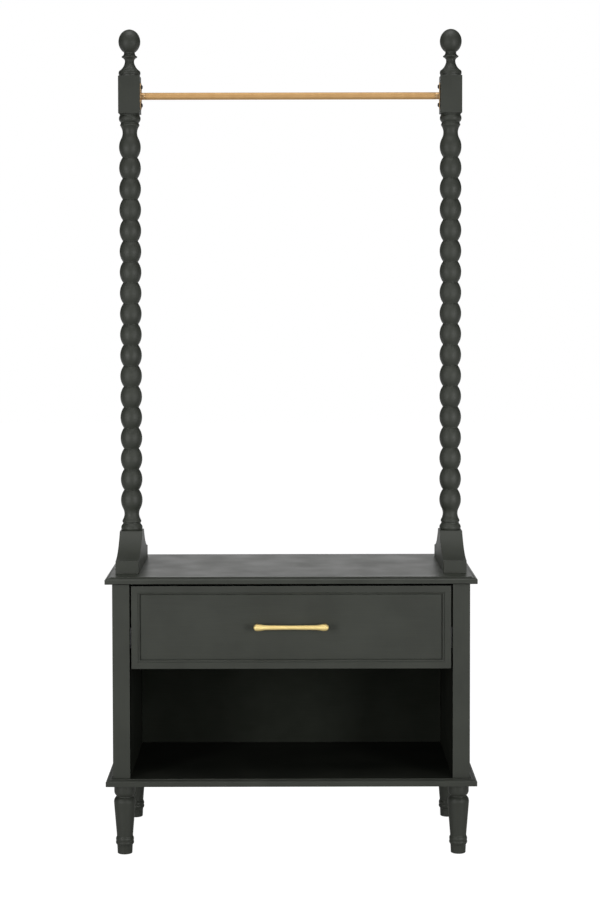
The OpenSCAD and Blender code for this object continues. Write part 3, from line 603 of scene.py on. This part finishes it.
def postOutline():
    base, first, pitch, count = (postLook[k] for k in ("foot", "firstBead", "pitch", "beads"))
    lowTail, highTail, steps = postLook["lowTail"], postLook["highTail"], postLook["stepsPerBead"]
    firstNeck = (beadRadius(lowTail), first - lowTail, -postLook["lowHollow"])
    points = throughStations(postLook["lowRings"] + [firstNeck], base)
    for k in range(count):
        start = -lowTail if k == 0 else -pitch / 2
        end = highTail if k == count - 1 else pitch / 2
        for i in range(1, steps + 1):
            away = start + (end - start) * i / steps
            points.append((beadRadius(away), base + first + k * pitch + away))
    lastBead = base + first + (count - 1) * pitch
    neck = throughStations([(beadRadius(highTail), highTail)] + postLook["highRings"], lastBead)
    return [(0, base)] + points + neck[1:] + [(0, neck[-1][1])]


postCentre = middleOf("left_post", height=0)
leftPost = turnOnLathe("leftPost", postOutline(), postCentre, soften=postLook["soften"])
halfBlock = postLook["block"] / 2 * mm
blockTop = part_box("left_post")[1].z
block = sawBlock(
    "leftBlock",
    (postCentre.x - halfBlock, postCentre.y - halfBlock, blockTop - postLook["blockHeight"] * mm),
    (postCentre.x + halfBlock, postCentre.y + halfBlock, blockTop))
easeEdges(block, postLook["blockEase"])
smoothEdgesOnly(block)
joinInto(leftPost, block)
postShift = (-2 * postCentre.x, 0, 0)
rightPost = copyOf(leftPost, "rightPost", postShift)
dress(leftPost, paintAlongZ, "frame", "left_post")
dress(rightPost, paintAlongZ, "frame", "right_post")
print("posts: turned")


# Ball finials

finialLook = {
    "stem": [
        (23.6, 0), (23.6, 3.5), (24.4, 4.5), (24.4, 9, 0.2), (22, 13, 0.7), (10.4, 32, -2.3), (10.4, 35),
        (16.8, 42, -1.2), (17.5, 43.3, 0.1), (17.5, 44.7), (12.3, 51, -1), (12.3, 53.8)],
    "ball": 24.6, "rise": 27.6,     # half its width and half its height
    "ballSteps": 22, "soften": 0.45,
}
neckRadius, neckTop = finialLook["stem"][-1]
lowAngle = -math.acos(neckRadius / finialLook["ball"])
ballMiddle = neckTop - finialLook["rise"] * math.sin(lowAngle)
ballLine = []
for i in range(1, finialLook["ballSteps"] + 1):
    angle = lowAngle + (math.pi / 2 - lowAngle) * i / finialLook["ballSteps"]
    ballLine.append((
        max(0, finialLook["ball"] * math.cos(angle)),
        ballMiddle + finialLook["rise"] * math.sin(angle)))
finialOutline = [(0, 0)] + throughStations(finialLook["stem"]) + ballLine
finialFoot = Vector((postCentre.x, postCentre.y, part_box("left_finial")[0].z))
leftFinial = turnOnLathe("leftFinial", finialOutline, finialFoot, soften=finialLook["soften"])
rightFinial = copyOf(leftFinial, "rightFinial", postShift)
dress(leftFinial, paintAlongZ, "frame", "left_finial")
dress(rightFinial, paintAlongZ, "frame", "right_finial")
print("finials: turned")


# Hanging rail, its end plates and their screws

railLook = {
    "radius": 8, "wall": 1.2, "endRound": 0.3,
    "plateWidth": 20, "plateHeight": 60, "plateThickness": 2, "plateCorners": 48, "plateEase": 0.5,
    "collar": [(0, -0.5), (8, -0.5), (8, 7.2), (7.8, 8), (6.7, 8), (6.7, 20), (0, 20)],   # and spigot
    "screwApart": 41, "headRadius": 4.8, "headRim": 1.3, "headHeight": 3.2, "headBow": 0.9,
    "headRound": 0.25, "crossLength": 5.2, "crossWidth": 1.1, "crossDepth": 1.5,
}
railMiddle = middleOf("hanging_rail")
railMiddle.x = 0
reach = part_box("hanging_rail")[1].x / mm
inner, outer = railLook["radius"] - railLook["wall"], railLook["radius"]
rail = turnOnLathe(
    "hangingRail", [(inner, -reach), (outer, -reach), (outer, reach), (inner, reach), (inner, -reach)],
    railMiddle, along=(1, 0, 0), outward=(0, 0, 1), soften=railLook["endRound"], steps=48)
dress(rail, railBrass, "frame", "hanging_rail")


def endPlate(name):
    # A ring of vertices is pulled apart into a long round-ended plate and drawn out to its
    # thickness. It is turned by half a step, so that no vertex lies on the middle line.
    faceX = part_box("left_rail_flange")[0].x
    straight = (railLook["plateHeight"] - railLook["plateWidth"]) / 2 * mm
    corners = railLook["plateCorners"]
    clearSelection()
    bpy.ops.mesh.primitive_circle_add(
        vertices=corners, radius=railLook["plateWidth"] / 2 * mm, fill_type="NGON",
        location=(faceX, railMiddle.y, railMiddle.z), rotation=(math.pi / corners, math.pi / 2, 0))
    plate = bpy.context.object
    plate.name = name
    settle(plate)
    bpy.ops.object.mode_set(mode="EDIT")
    for sign in (1, -1):
        mesh = bmesh.from_edit_mesh(plate.data)
        bpy.ops.mesh.select_mode(type="VERT")
        bpy.ops.mesh.select_all(action="DESELECT")
        for vertex in mesh.verts:
            if (vertex.co.z - railMiddle.z) * sign > 0:
                vertex.select_set(True)
        bmesh.update_edit_mesh(plate.data)
        bpy.ops.transform.translate(value=(0, 0, sign * straight))
    bpy.ops.mesh.select_all(action="SELECT")
    bpy.ops.mesh.extrude_region_move(
        TRANSFORM_OT_translate={"value": (railLook["plateThickness"] * mm, 0, 0)})
    bpy.ops.mesh.select_all(action="SELECT")
    bpy.ops.mesh.normals_make_consistent(inside=False)
    bpy.ops.object.mode_set(mode="OBJECT")
    easeEdges(plate, railLook["plateEase"], sharperThan=40)
    smoothEdgesOnly(plate)
    return plate


leftPlate = endPlate("leftRailPlate")
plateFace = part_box("left_rail_flange")[0].x + railLook["plateThickness"] * mm
collarStart = Vector((plateFace, railMiddle.y, railMiddle.z))
collar = turnOnLathe(
    "leftCollar", railLook["collar"], collarStart, along=(1, 0, 0), outward=(0, 0, 1),
    soften=railLook["endRound"], steps=48)
joinInto(leftPlate, collar)
rightPlate = copyOf(leftPlate, "rightRailPlate", halfTurnAbout=(0, railMiddle.y, 0))
dress(leftPlate, plateBrass, "frame", "left_rail_flange")
dress(rightPlate, plateBrass, "frame", "right_rail_flange")

headStart = Vector((plateFace, railMiddle.y, railMiddle.z + railLook["screwApart"] / 2 * mm))
rim, crown = (railLook["headRadius"], railLook["headRim"]), (0, railLook["headHeight"])
screwHead = turnOnLathe(
    "flangeScrew1", [(0, 0), (railLook["headRadius"], 0), rim] + arcTo(rim, crown, railLook["headBow"]),
    headStart, along=(1, 0, 0), outward=(0, 0, 1), soften=railLook["headRound"], steps=32)
tipX = plateFace + railLook["headHeight"] * mm
halfLength, halfWidth = railLook["crossLength"] / 2 * mm, railLook["crossWidth"] / 2 * mm
for halfY, halfZ in ((halfWidth, halfLength), (halfLength, halfWidth)):
    cutter = sawBlock(
        "crossCutter", (tipX - railLook["crossDepth"] * mm, headStart.y - halfY, headStart.z - halfZ),
        (tipX + mm, headStart.y + halfY, headStart.z + halfZ))
    takeUp(screwHead)
    cut = screwHead.modifiers.new("cross", "BOOLEAN")
    cut.operation = "DIFFERENCE"
    cut.object = cutter
    bpy.ops.object.modifier_apply(modifier=cut.name)
    takeUp(cutter)
    bpy.ops.object.delete()
smooth(screwHead, angle=30)
secondHead = copyOf(screwHead, "flangeScrew2", (0, 0, -railLook["screwApart"] * mm))
heads = [
    screwHead, secondHead,
    copyOf(screwHead, "flangeScrew3", halfTurnAbout=(0, railMiddle.y, 0)),
    copyOf(secondHead, "flangeScrew4", halfTurnAbout=(0, railMiddle.y, 0))]
for head in heads:
    dress(head, blackScrew, "frame", "flange_screws")
print("rail: tube, plates and screws")


# Drawer front with its recessed panel

frontLook = {
    "round": 0.8,                # the outer front arris
    "border": 14,
    "outerQuirk": (0.9, 2.2),    # width and depth of the sunk line inside the border
    "step": 1,                   # how much lower than the border the moulding starts
    "mouldWidth": 6,             # with both sunk lines
    "mouldDrop": 3.5, "mouldBow": 0.9,
    "innerQuirk": (1.2, 2.6),    # width and depth of the one round the panel
    "panelStep": 1.5,
    "ease": 0.3,
}


def sinkLine(width, depth, endDepth):
    # A narrow groove: down by depth, across by width and up to endDepth below where it began
    bpy.ops.mesh.extrude_region_move(TRANSFORM_OT_translate={"value": (0, depth * mm, 0)})
    bpy.ops.mesh.inset(thickness=width * mm, depth=0)
    bpy.ops.mesh.extrude_region_move(TRANSFORM_OT_translate={"value": (0, (endDepth - depth) * mm, 0)})


drawerFront = sawBlock("drawerFront", *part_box("drawer_front"))
takeUp(drawerFront)
bpy.ops.object.mode_set(mode="EDIT")
pickFaces(facing((0, -1, 0)))
bpy.ops.mesh.bevel(offset=frontLook["round"] * mm, segments=3, affect="EDGES")
pickFaces(facing((0, -1, 0)))
bpy.ops.mesh.inset(thickness=frontLook["border"] * mm, depth=0)
sinkLine(*frontLook["outerQuirk"], frontLook["step"])
curveWidth = frontLook["mouldWidth"] - frontLook["outerQuirk"][0] - frontLook["innerQuirk"][0]
mould(curveWidth, -frontLook["mouldDrop"], frontLook["mouldBow"])
sinkLine(*frontLook["innerQuirk"], frontLook["panelStep"])
bpy.ops.object.mode_set(mode="OBJECT")
easeEdges(drawerFront, frontLook["ease"], segments=2, sharperThan=35)
smoothEdgesOnly(drawerFront, angle=30)
dress(drawerFront, paintAlongX, "drawer", "drawer_front")

frontLow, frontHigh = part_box("drawer_front")
frontRound = frontLook["round"] * mm
facingFront = facing((0, -1, 0), within=25)


def isFrontEdge(middle, normal):
    # The drawer front's four narrow edges, with the part of their arris that looks outwards
    atEnd = abs(middle.x) > frontHigh.x - frontRound
    atTopOrBottom = not frontLow.z + frontRound < middle.z < frontHigh.z - frontRound
    return (atEnd or atTopOrBottom) and not facingFront(middle, normal)


# Those edges are painted near black: painted shade in the gaps round the drawer
dressFaces(drawerFront, gapShadePaint, isFrontEdge)
print("drawer front: moulded")


# Drawer handle: a bar with swollen ends on two posts

handleLook = {
    "stations": [
        (4.6, 0), (5.2, 51, 0.05), (7.2, 67, -0.45), (7.35, 70, 0.05), (7.35, 74.8), (0, 82, 2.15)],
    "swollen": 7.35,      # the bar's greatest radius
    "apart": 148, "stem": 4.4, "stemFoot": 5.2, "footHeight": 2.5, "flareHeight": 1, "flareBow": 0.3,
    "stemRound": 0.4,
    "bright": 5,          # how far behind its middle line the bar keeps its bright brass; behind that the brass is darkened as painted shade
}
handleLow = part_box("drawer_handle")[0]
handleMiddle = Vector((0, handleLow.y + handleLook["swollen"] * mm, middleOf("drawer_handle").z))
halfBar = throughStations(handleLook["stations"], steps=12)
halfBar = [(min(r, handleLook["swollen"]), d) for r, d in halfBar]
wholeBar = [(r, -d) for r, d in reversed(halfBar)] + halfBar[1:]
handle = turnOnLathe(
    "drawerHandle", wholeBar, handleMiddle, along=(1, 0, 0), outward=(0, 0, 1), soften=0, steps=48)

panelY = frontLow.y + (frontLook["step"] + frontLook["mouldDrop"] + frontLook["panelStep"]) * mm
stemEnd = (panelY - handleMiddle.y) / mm
flareEnd = (handleLook["stemFoot"], stemEnd - handleLook["footHeight"])
flareStart = (handleLook["stem"], flareEnd[1] - handleLook["flareHeight"])
stemOutline = [(0, 0), (handleLook["stem"], 0), flareStart] + arcTo(
    flareStart, flareEnd, -handleLook["flareBow"], steps=6)
stemOutline += [(handleLook["stemFoot"], stemEnd), (0, stemEnd)]
stem = turnOnLathe(
    "handleStem", stemOutline, (handleLook["apart"] / 2 * mm, handleMiddle.y, handleMiddle.z),
    along=(0, 1, 0), outward=(0, 0, 1), soften=handleLook["stemRound"], steps=32)
otherStem = copyOf(stem, "handleStem2", (-handleLook["apart"] * mm, 0, 0))
joinInto(handle, stem, otherStem)
dress(handle, handleBrass, "drawer", "drawer_handle")
behindBar = handleMiddle.y + handleLook["bright"] * mm
# The stems behind the bar get the darkened brass: painted shade
dressFaces(handle, shadedStemBrass, lambda middle, normal: middle.y > behindBar)
print("handle: turned")


# Drawer box, seen when the drawer is out

boxLook = {"ease": 1.2}

for node, name, finish in (
        ("drawer_left_side", "drawerLeftSide", birchAlongY),
        ("drawer_right_side", "drawerRightSide", birchAlongY),
        ("drawer_back", "drawerBack", birchAlongX),
        ("drawer_box_front", "drawerBoxFront", birchAlongX)):
    wall = sawBlock(name, *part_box(node))
    easeEdges(wall, boxLook["ease"])
    smoothEdgesOnly(wall)
    dress(wall, finish, "drawer", node)
print("drawer box: walls")


# CAD nodes that keep their shape and get their finish

# The linings, the divider and the back panel get darkened paint: painted shade inside the case
refinish(shadeInsideAlongZ, "left_lining", "right_lining")
refinish(shadedBackPaint, "back_panel")
refinish(shadeInsideAlongX, "divider_shelf")
refinish(birchAlongX, "drawer_bottom", "drawer_dowels", "divider_dowels", "carcass_dowels")
refinish(zincSteel, *[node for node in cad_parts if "slide" in node or "cage" in node])
refinish(
    zincSteel, "cam_bolts", "cam_nuts", "bottom_screws", "leg_bolts", "leg_inserts", "finial_studs",
    "post_bolts", "post_inserts", "base_bolts", "base_inserts", "drawer_front_screws", "handle_screws")
print("CAD nodes: refinished")


# Studio: pale floor, white surroundings, two tall softboxes in front

studio = {
    "sweepFront": -0.65, "sweepBack": 14, "sweepHalf": 12,   # the white sweep that the rack stands on
    "sweepColour": "#c9c9c7",
    "sweepGlow": 1.40, "sweepShare": 0.7,    # what the camera sees of it: white, with the rack's shadow
    "shareInGloss": 0.12,                    # how much of that white the gloss picks up near the rack
    "farShareInGloss": 0.8,                  # and beyond farTo, behind the rack
    "farFrom": 0.6, "farTo": 2.5,
    "backdrop": 1.42,                        # level of the white backdrop, as gloss shows it
    "backdropFades": (("back", 0.1, 0.3, 0, 1), ("sideways", 0.2, 0.4, 1, 0), ("up", 0.25, 0.45, 1, 0)),
    "room": 0.32,                            # level of the room in front, as gloss shows it
    "roomFades": (
        ("back", -0.2, 0.2, 1, 0.1),
        ("up", -0.15, 0, 1.8, 1),            # its white floor is brighter
        ("up", 0.45, 0.85, 1, 0.5)),
    "fillFront": 0.03, "fillBehind": 0.5,    # levels that light matt surfaces
    "fillFrom": -0.2, "fillTo": 0.6,
    "softboxes": {"left": (-2.0, -2.5, 1.0), "right": (2.0, -2.5, 1.0)},
    "softboxPowers": {"left": 8.3, "right": 8.7},
    "softboxSize": (0.75, 1.4), "aimAt": (0, 0, 0.95),
    "gridSpread": 78,                        # degrees, honeycomb grids keep the light level
    "topLight": {"place": (-0.1, -0.9, 5), "aimAt": (-0.1, -0.9, 0), "size": (3.4, 2.8), "power": 95},
}


def byRay(tree, camera, gloss, rest):
    # One level for camera rays, one for what gloss and glass show and one for all other rays
    rays = addNode(tree, "ShaderNodeLightPath").outputs
    mirrored = addNode(
        tree, "ShaderNodeMath", {0: rays["Is Glossy Ray"], 1: rays["Is Transmission Ray"]},
        operation="ADD", use_clamp=True)
    unseen = addNode(
        tree, "ShaderNodeMix", {"Factor": mirrored.outputs[0], "A": rest, "B": gloss}, data_type="FLOAT")
    level = addNode(
        tree, "ShaderNodeMix", {"Factor": rays["Is Camera Ray"], "A": unseen.outputs[0], "B": camera},
        data_type="FLOAT")
    return level.outputs[0]


def paleFloor(name):
    # Matt pale paint that mixes with a white glow. Matt surfaces are lit by the paint alone.
    material, tree = newMaterial(name)
    place = addNode(tree, "ShaderNodeTexCoord").outputs["Object"]
    depth = addNode(tree, "ShaderNodeSeparateXYZ", {"Vector": place}).outputs["Y"]
    glossShare = addNode(tree, "ShaderNodeMapRange", {
        "Value": depth, "From Min": studio["farFrom"], "From Max": studio["farTo"],
        "To Min": studio["shareInGloss"], "To Max": studio["farShareInGloss"]})
    share = byRay(tree, camera=studio["sweepShare"], gloss=glossShare.outputs[0], rest=0.0)
    matt = addNode(tree, "ShaderNodeBsdfDiffuse", {"Color": linear(studio["sweepColour"])})
    white = addNode(tree, "ShaderNodeEmission", {"Color": (1, 1, 1, 1), "Strength": studio["sweepGlow"]})
    mixed = addNode(tree, "ShaderNodeMixShader", {"Fac": share, 1: matt.outputs[0], 2: white.outputs[0]})
    addNode(tree, "ShaderNodeOutputMaterial", {"Surface": mixed.outputs[0]})
    return material


clearSelection()
sweepDepth = studio["sweepBack"] - studio["sweepFront"]
bpy.ops.mesh.primitive_plane_add(size=1, location=(0, studio["sweepFront"] + sweepDepth / 2, 0))
bpy.ops.transform.resize(value=(2 * studio["sweepHalf"], sweepDepth, 1))
floor = bpy.context.object
floor.name = "studioFloor"
settle(floor)
floor.data.materials.append(paleFloor("matt pale floor"))


def levelWhere(tree, towards, level, fades):
    # A level that fades with the direction: (which way, from, to, times there, times beyond)
    for way, start, end, there, beyond in fades:
        fade = addNode(tree, "ShaderNodeMapRange", {
            "Value": towards[way], "From Min": start, "From Max": end, "To Min": there, "To Max": beyond})
        product = addNode(tree, "ShaderNodeMath", {0: fade.outputs[0], 1: level}, operation="MULTIPLY")
        level = product.outputs[0]
    return level


def whiteStudio(name):
    # White to the camera. Gloss shows a backdrop behind the rack and a dimmer room in front.
    world = bpy.data.worlds.new(name)
    world.use_nodes = True
    tree = world.node_tree
    tree.nodes.clear()
    place = addNode(tree, "ShaderNodeTexCoord").outputs["Generated"]
    direction = addNode(tree, "ShaderNodeSeparateXYZ", {"Vector": place}).outputs
    sideways = addNode(tree, "ShaderNodeMath", {0: direction["X"]}, operation="ABSOLUTE")
    towards = {"sideways": sideways.outputs[0], "back": direction["Y"], "up": direction["Z"]}
    onBackdrop = levelWhere(tree, towards, 1.0, studio["backdropFades"])
    room = levelWhere(tree, towards, studio["room"], studio["roomFades"])
    mirrored = addNode(
        tree, "ShaderNodeMix", {"Factor": onBackdrop, "A": room, "B": studio["backdrop"]},
        data_type="FLOAT")
    fill = addNode(tree, "ShaderNodeMapRange", {
        "Value": towards["back"], "From Min": studio["fillFrom"], "From Max": studio["fillTo"],
        "To Min": studio["fillFront"], "To Max": studio["fillBehind"]})
    level = byRay(tree, camera=1.0, gloss=mirrored.outputs[0], rest=fill.outputs[0])
    light = addNode(tree, "ShaderNodeBackground", {"Color": (1, 1, 1, 1), "Strength": level})
    addNode(tree, "ShaderNodeOutputWorld", {"Surface": light.outputs[0]})
    return world


def hangSoftbox(name, place, aimAt, size, power, spread=180):
    clearSelection()
    bpy.ops.object.light_add(type="AREA", location=place)
    softbox = bpy.context.object
    softbox.name = name
    softbox.data.shape = "RECTANGLE"
    softbox.data.size, softbox.data.size_y = size
    softbox.data.energy = power
    softbox.data.spread = math.radians(spread)
    softbox.rotation_euler = (Vector(aimAt) - Vector(place)).to_track_quat("-Z", "Y").to_euler()


bpy.context.scene.world = whiteStudio("white studio")
for side, place in studio["softboxes"].items():
    hangSoftbox(
        side + "Softbox", place, studio["aimAt"], studio["softboxSize"], studio["softboxPowers"][side],
        studio["gridSpread"])
hangSoftbox("topSoftbox", **studio["topLight"])
print("studio: lit")


# Camera where the photograph was taken from

cameraLook = {
    "place": (0, -4.505425, 1.2422),
    "tiltDown": 2.4236, "roll": 0.11,      # degrees
    "lens": 79.577, "sensor": 36,          # mm
    "shiftX": 0.01052, "shiftY": -0.08444,
    "clipEnd": 100,
}
clearSelection()
bpy.ops.object.camera_add(
    location=cameraLook["place"],
    rotation=(math.radians(90 - cameraLook["tiltDown"]), math.radians(cameraLook["roll"]), 0))
camera = bpy.context.object
camera.name = "photoCamera"
camera.data.sensor_width = cameraLook["sensor"]
camera.data.lens = cameraLook["lens"]
camera.data.shift_x = cameraLook["shiftX"]
camera.data.shift_y = cameraLook["shiftY"]
camera.data.clip_end = cameraLook["clipEnd"]
bpy.context.scene.camera = camera
bpy.context.scene.view_settings.view_transform = "Standard"
print("camera: set")

clearSelection()
